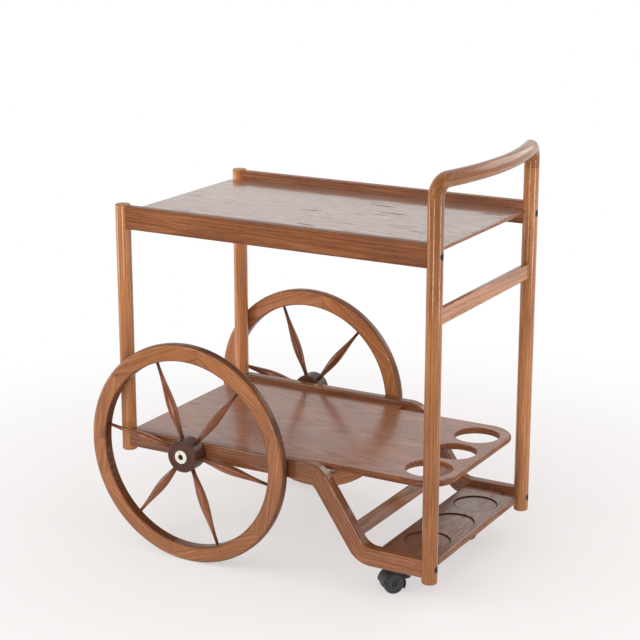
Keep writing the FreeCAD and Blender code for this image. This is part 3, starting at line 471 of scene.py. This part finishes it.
def spokeGrain(side):
    # The spoke darkens from its belly to both of its ends, at the hub and the rim
    belly = wheelSpokes["belly"]

    def route(flow, x, y, z):
        sector, outward, around, depth, tone = wheelSector(flow, side, x, y, z)
        edge = between(abs(outward - wheelSpokes["bellyAt"]), belly, belly + wheelSpokes["bellyFade"])
        along = outward + sector * wheelSpokes["lengthStep"]
        return along, around, depth + sector * wheelSpokes["spokeStep"], tone, edge
    return route


def hubGrain(side):
    middle = wheelMiddle(side)

    def route(flow, x, y, z):
        return y - middle.y, x - middle.x, z - middle.z, evenTone, 0.0
    return route


for side, seed in wheelSpokes["seeds"].items():
    rim = f"wheel_rim_{side}"
    spokes = f"wheel_spokes_{side}"
    hub = f"wheel_hub_{side}"
    paint([rim], wood(rim, rimTones[side], wheelFigure, felloeGrain(side), seed))
    paint([spokes], wood(spokes, spokeTones, wheelFigure, spokeGrain(side), seed + 1))
    paint([hub], wood(hub, hubTones, hubFigure, hubGrain(side), seed + 2))
print("wood finished")


# Metal, nylon and plastic

speckle = {"grain": 0.5, "grainDetail": 2.0, "patchDetail": 3.0, "toneRange": (0.32, 0.7), "grainGloss": 0.10,
           "patchGloss": 0.14, "glossDrop": 0.12}


def speckles(flow, place, size):
    # Uneven patches, and a fine grain
    patch = noise(flow, [distance / size for distance in place], speckle["patchDetail"])
    grain = noise(flow, [distance / speckle["grain"] for distance in place], speckle["grainDetail"])
    return patch, grain


def speckled(name, light, dark, size, metallic, roughness, relief):
    # A moulded or plated surface: uneven tone in patches, with a fine grain
    material, flow = newMaterial(name)
    patch, grain = speckles(flow, placeInMillimetres(flow), size)
    colour = blendColours(flow, between(patch, *speckle["toneRange"]), dark, light)
    gloss = roughness + grain * speckle["grainGloss"] + patch * speckle["patchGloss"] - speckle["glossDrop"]
    surface(flow, {"Base Color": colour, "Metallic": metallic, "Roughness": gloss}, grain, relief)
    return material


plainFinishes = {
    "blackOxide": {"light": (0.030, 0.028, 0.027), "dark": (0.012, 0.011, 0.011), "size": 6.0,
                   "metallic": 0.7, "roughness": 0.42, "relief": 0.1, "wearers": ["connector_bolts"]},
    "zinc": {"light": (0.55, 0.54, 0.52), "dark": (0.36, 0.35, 0.34), "size": 5.0,
             "metallic": 1.0, "roughness": 0.36, "relief": 0.1, "wearers": ["barrel_nuts"]},
    "axleSteel": {"light": (0.030, 0.028, 0.026), "dark": (0.014, 0.013, 0.012), "size": 3.0,
                  "metallic": 0.6, "roughness": 0.52, "relief": 0.1, "wearers": ["axle_pin"]},
    "nylon": {"light": (0.68, 0.645, 0.56), "dark": (0.56, 0.51, 0.41), "size": 7.0,
              "metallic": 0.0, "roughness": 0.42, "relief": 0.1, "wearers": ["hub_bush"]},
    "casterPlastic": {"light": (0.022, 0.022, 0.024), "dark": (0.012, 0.012, 0.013), "size": 14.0,
                      "metallic": 0.0, "roughness": 0.40, "relief": 0.25, "wearers": ["caster_hood"]},
    "casterTread": {"light": (0.045, 0.043, 0.042), "dark": (0.020, 0.020, 0.020), "size": 9.0,
                    "metallic": 0.0, "roughness": 0.52, "relief": 0.25, "wearers": ["caster_wheel"]},
    "casterSteel": {"light": (0.05, 0.05, 0.05), "dark": (0.022, 0.021, 0.021), "size": 8.0,
                    "metallic": 0.8, "roughness": 0.42, "relief": 0.1,
                    "wearers": ["caster_plate", "caster_king_pin", "caster_screws", "caster_axle"]},
}
for name, look in plainFinishes.items():
    finish = {key: value for key, value in look.items() if key != "wearers"}
    worn = [node for node in nodes if any(node.startswith(wearer) for wearer in look["wearers"])]
    paint(worn, speckled(name, **finish))

axleWasher = {"light": (0.68, 0.645, 0.56), "dark": (0.56, 0.51, 0.41), "darkCentre": (0.020, 0.018, 0.016),
              "size": 7.0, "darkCentreRange": (6.0, 4.4), "darkCentreWander": 1.5, "darkCentreGloss": 0.1,
              "roughness": 0.3, "relief": 0.1}


def darkCentredNylon(side):
    # White nylon, darkened in a disc round the pin
    material, flow = newMaterial(f"darkCentredNylon_{side}")
    x, y, z = placeInMillimetres(flow)
    middle = wheelMiddle(side)
    reach = lengthOf(x - middle.x, z - middle.z)
    patch, grain = speckles(flow, (x, y, z), axleWasher["size"])
    darkCentre = between(reach + (patch - 0.5) * axleWasher["darkCentreWander"], *axleWasher["darkCentreRange"])
    patchShare = between(patch, *speckle["toneRange"])
    colour = blendColours(flow, patchShare, axleWasher["dark"], axleWasher["light"])
    colour = blendColours(flow, darkCentre, colour, axleWasher["darkCentre"])
    gloss = grain * speckle["grainGloss"] + patch * speckle["patchGloss"]
    gloss = gloss + darkCentre * axleWasher["darkCentreGloss"] + axleWasher["roughness"]
    surface(flow, {"Base Color": colour, "Roughness": gloss}, grain, axleWasher["relief"])
    return material


for side in ("left", "right"):
    paint([f"axle_washer_{side}"], darkCentredNylon(side))
print("metal, nylon and plastic finished")


# Floor, light and camera

stageLook = {"paper": (0.86, 0.83, 0.82), "glow": (0.95, 0.92, 0.915), "share": 0.55, "fadeFrom": 500.0,
             "fadeTo": 1400.0, "frontFrom": -1500.0, "frontTo": -700.0, "frontShine": 0.2, "half": 30.0}


def backdropRays(flow):
    # 1 for rays that should see the white backdrop
    seen = [flow.node("ShaderNodeLightPath", {}, {}, kind) for kind in
            ("Is Camera Ray", "Is Glossy Ray", "Is Transmission Ray")]
    return flow.maths("MAXIMUM", flow.maths("MAXIMUM", seen[0], seen[1]), seen[2])


def layFloor():
    bpy.ops.object.select_all(action="DESELECT")
    bpy.ops.mesh.primitive_plane_add(size=2 * stageLook["half"], location=(0, 0, 0))
    floor = bpy.context.object
    floor.name = "studioFloor"
    material, flow = newMaterial("studioFloor")
    x, y, z = placeInMillimetres(flow)
    fade = between(lengthOf(x, y), stageLook["fadeFrom"], stageLook["fadeTo"])
    shares = (fade * (1 - stageLook["share"]) + stageLook["share"]) * backdropRays(flow)
    paper = flow.node("ShaderNodeBsdfDiffuse", {}, {"Color": (*stageLook["paper"], 1)})
    seen = flow.node("ShaderNodeLightPath", {}, {}, "Is Camera Ray")
    front = between(y, stageLook["frontFrom"], stageLook["frontTo"])
    shine = front * (1 - stageLook["frontShine"]) + stageLook["frontShine"]
    glowFeeds = {"Color": blendColours(flow, fade, stageLook["glow"], (1, 1, 1)),
                 "Strength": flow.maths("MAXIMUM", seen, shine)}
    glow = flow.node("ShaderNodeEmission", {}, glowFeeds)
    mixed = flow.node("ShaderNodeMixShader", {}, {0: shares, 1: paper, 2: glow})
    flow.node("ShaderNodeOutputMaterial", {}, {"Surface": mixed})
    floor.data.materials.append(material)


studioAir = {"roomShine": 0.18, "wallFrom": -0.20, "wallTo": 0.45, "fill": 0.66, "frontFill": 0.45,
             "frontFrom": 0.1, "frontTo": -0.7, "overhead": 0.25}


def lightWorld():
    # A white wall behind the cart, and a dimmer room on the camera's side and overhead
    world = bpy.data.worlds.new("studioAir")
    world.use_nodes = True
    world.node_tree.nodes.clear()
    flow = Flow(world.node_tree)
    direction = flow.node("ShaderNodeTexCoord", {}, {}, "Generated")
    back = flow.node("ShaderNodeSeparateXYZ", {}, {0: direction}, "Y")
    up = flow.node("ShaderNodeSeparateXYZ", {}, {0: direction}, "Z")
    wall = between(back, studioAir["wallFrom"], studioAir["wallTo"])
    shine = wall * (1 - studioAir["roomShine"]) + studioAir["roomShine"]
    front = between(back, studioAir["frontFrom"], studioAir["frontTo"]) * studioAir["frontFill"]
    fill = front + studioAir["fill"] - flow.maths("MAXIMUM", up, 0.0) * studioAir["overhead"]
    seen = flow.node("ShaderNodeLightPath", {}, {}, "Is Camera Ray")
    mirrored = backdropRays(flow)
    strength = flow.maths("MAXIMUM", seen, mirrored * shine + (1 - mirrored) * fill)
    background = flow.node("ShaderNodeBackground", {}, {"Color": (1, 1, 1, 1), "Strength": strength})
    flow.node("ShaderNodeOutputWorld", {}, {"Surface": background})
    bpy.context.scene.world = world


lampAim = (0, 0, 0.4)
lamps = {
    "leftStrip": {"place": (-1.9, -0.9, 0.33), "wide": 0.40, "tall": 0.55, "watts": 5.0},
    "frontStrip": {"place": (0.45, -2.0, 0.33), "wide": 0.35, "tall": 0.55, "watts": 7.0},
    "rightStrip": {"place": (2.0, 0.0, 0.33), "wide": 0.40, "tall": 0.55, "watts": 6.0},
    "keySoftbox": {"place": (-0.9, -2.7, 1.9), "wide": 2.8, "tall": 1.8, "watts": 26.0},
    "leftSoftbox": {"place": (-2.5, -0.8, 1.6), "wide": 2.2, "tall": 1.8, "watts": 8.0},
    "rightSoftbox": {"place": (2.5, 0.2, 1.6), "wide": 2.2, "tall": 1.8, "watts": 14.0},
    "backSoftbox": {"place": (1.2, 2.5, 1.7), "wide": 2.0, "tall": 1.4, "watts": 18.0},
    "highlight": {"place": (-1.6, -2.2, 2.2), "wide": 0.35, "tall": 0.6, "watts": 6.0},
    "topSoftbox": {"place": (0.0, 0.4, 2.6), "wide": 2.0, "tall": 2.0, "watts": 6.0},
}


def hangLamps():
    for name, look in lamps.items():
        lamp = bpy.data.lights.new(name, "AREA")
        lamp.shape = "RECTANGLE"
        lamp.size = look["wide"]
        lamp.size_y = look["tall"]
        lamp.energy = look["watts"]
        holder = bpy.data.objects.new(name, lamp)
        holder.location = look["place"]
        holder.rotation_euler = (Vector(lampAim) - holder.location).to_track_quat("-Z", "Y").to_euler()
        holder.visible_camera = False
        bpy.context.scene.collection.objects.link(holder)


photoView = {"target": (-0.0135, 0.00955, 0.4184), "azimuth": 29.589, "elevation": 15.469,
             "distance": 3.22593, "lens": 98.59, "sensor": 36.0}


def placeCamera():
    camera = bpy.data.cameras.new("photoCamera")
    camera.lens = photoView["lens"]
    camera.sensor_width = photoView["sensor"]
    holder = bpy.data.objects.new("photoCamera", camera)
    turn = math.radians(photoView["azimuth"])
    rise = math.radians(photoView["elevation"])
    back = Vector((math.sin(turn) * math.cos(rise), -math.cos(turn) * math.cos(rise), math.sin(rise)))
    holder.location = Vector(photoView["target"]) + back * photoView["distance"]
    holder.rotation_euler = (math.pi / 2 - rise, 0, turn)
    bpy.context.scene.collection.objects.link(holder)
    bpy.context.scene.camera = holder


layFloor()
lightWorld()
hangLamps()
placeCamera()
bpy.context.scene.view_settings.view_transform = "Standard"
print("floor, light and camera set")
